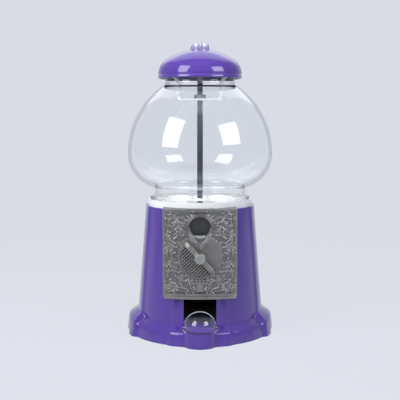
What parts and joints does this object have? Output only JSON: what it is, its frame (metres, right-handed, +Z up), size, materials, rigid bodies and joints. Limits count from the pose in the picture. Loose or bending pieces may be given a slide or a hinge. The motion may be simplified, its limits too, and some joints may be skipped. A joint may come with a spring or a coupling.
{
  "type": "gumball machine",
  "caption": "Table-top gumball machine: glass globe on a tapered enamelled base, cast coin face with turning handle, clear outlet door, lift-off lid.",
  "frame": {"origin": "centre of the base on the surface it stands on", "axes": "+Z up along the rod, -Y towards the front with the coin face, +X to the right seen from the front"},
  "size_m": [0.1954, 0.203, 0.381],
  "materials": {
    "violet_enamel": "glossy enamel",
    "black_plastic": "fine grained black plastic",
    "black_rubber": "soft black rubber",
    "white_plastic": "smooth white plastic",
    "clear_rubber": "soft pale ring",
    "globe_glass": "clear pressed glass",
    "rod_steel": "bright zinc plated steel",
    "screw_steel": "zinc plated steel",
    "pewter": "antique pewter finish on a die casting",
    "zinc_steel": "zinc plated sheet steel",
    "pin_steel": "ground steel",
    "spring_steel": "spring wire",
    "bush_brass": "turned brass",
    "clear_plastic": "clear moulded plastic"
  },
  "bodies": {
    "machine": {"base_body": "violet_enamel", "bottom_cover": "black_plastic", "chute": "black_plastic", "coin_plug": "black_rubber", "hopper": "white_plastic", "ball_guard": "white_plastic", "globe_clamp": "white_plastic", "globe_gasket": "clear_rubber", "globe": "globe_glass", "center_rod": "rod_steel", "rod_washer": "rod_steel", "rod_nut": "rod_steel", "clamp_nut": "rod_steel", "cover_screws": "screw_steel", "hopper_screws": "screw_steel", "guard_screw": "screw_steel", "plate_screws": "screw_steel", "backplate_screws": "screw_steel", "chute_screws": "screw_steel", "face_plate": "pewter", "mech_backplate": "zinc_steel", "gauge_pin": "pin_steel", "pawl_pin": "pin_steel", "door_pins": "pin_steel", "front_bush": "bush_brass", "rear_bush": "bush_brass"},
    "turning_handle": {"handle": "pewter", "handle_cap": "pewter", "handle_shaft": "zinc_steel", "coin_wheel": "pewter", "ratchet_wheel": "zinc_steel", "drive_pinion": "zinc_steel", "shaft_clip": "pin_steel"},
    "wheel": {"dispensing_wheel": "white_plastic"},
    "lid_cap": {"lid": "violet_enamel"},
    "knob": {"lid_knob": "violet_enamel"},
    "outlet_door": {"bubble_door": "clear_plastic"},
    "pawl": {"stop_pawl": "zinc_steel", "pawl_spring": "spring_steel"},
    "coin_gauge": {"gauge_lever": "zinc_steel", "gauge_spring": "spring_steel"}
  },
  "joints": [
    {"name": "handle_turn", "type": "hinge", "parent": "machine", "child": "turning_handle", "pos_m": [0, -0.0835, 0.1125], "axis": [0, 1, 0], "continuous": true},
    {"name": "wheel_turn", "type": "hinge", "parent": "machine", "child": "wheel", "pos_m": [0, 0, 0.1264], "axis": [0, 0, 1], "continuous": true},
    {"name": "lid_lift", "type": "slide", "parent": "machine", "child": "lid_cap", "axis": [0, 0, 1], "range_m": [0, 0.055]},
    {"name": "knob_turn", "type": "hinge", "parent": "lid_cap", "child": "knob", "pos_m": [0, 0, 0.377], "axis": [0, 0, 1], "continuous": true},
    {"name": "door_lift", "type": "hinge", "parent": "machine", "child": "outlet_door", "pos_m": [0, -0.084, 0.0224], "axis": [-1, 0, 0], "range_deg": [0, 78]},
    {"name": "pawl_lift", "type": "hinge", "parent": "machine", "child": "pawl", "pos_m": [-0.0295, -0.075, 0.0995], "axis": [0, -1, 0], "range_deg": [0, 9], "stiffness_Nm_per_rad": 0.02, "springref_deg": -8.59},
    {"name": "gauge_lift", "type": "hinge", "parent": "machine", "child": "coin_gauge", "pos_m": [0.0275, -0.078, 0.1505], "axis": [0, -1, 0], "range_deg": [0, 8], "stiffness_Nm_per_rad": 0.02, "springref_deg": -8.59}
  ],
  "couplings": [
    {"joint": "wheel_turn", "follows": "handle_turn", "ratio": 0.25}
  ]
}
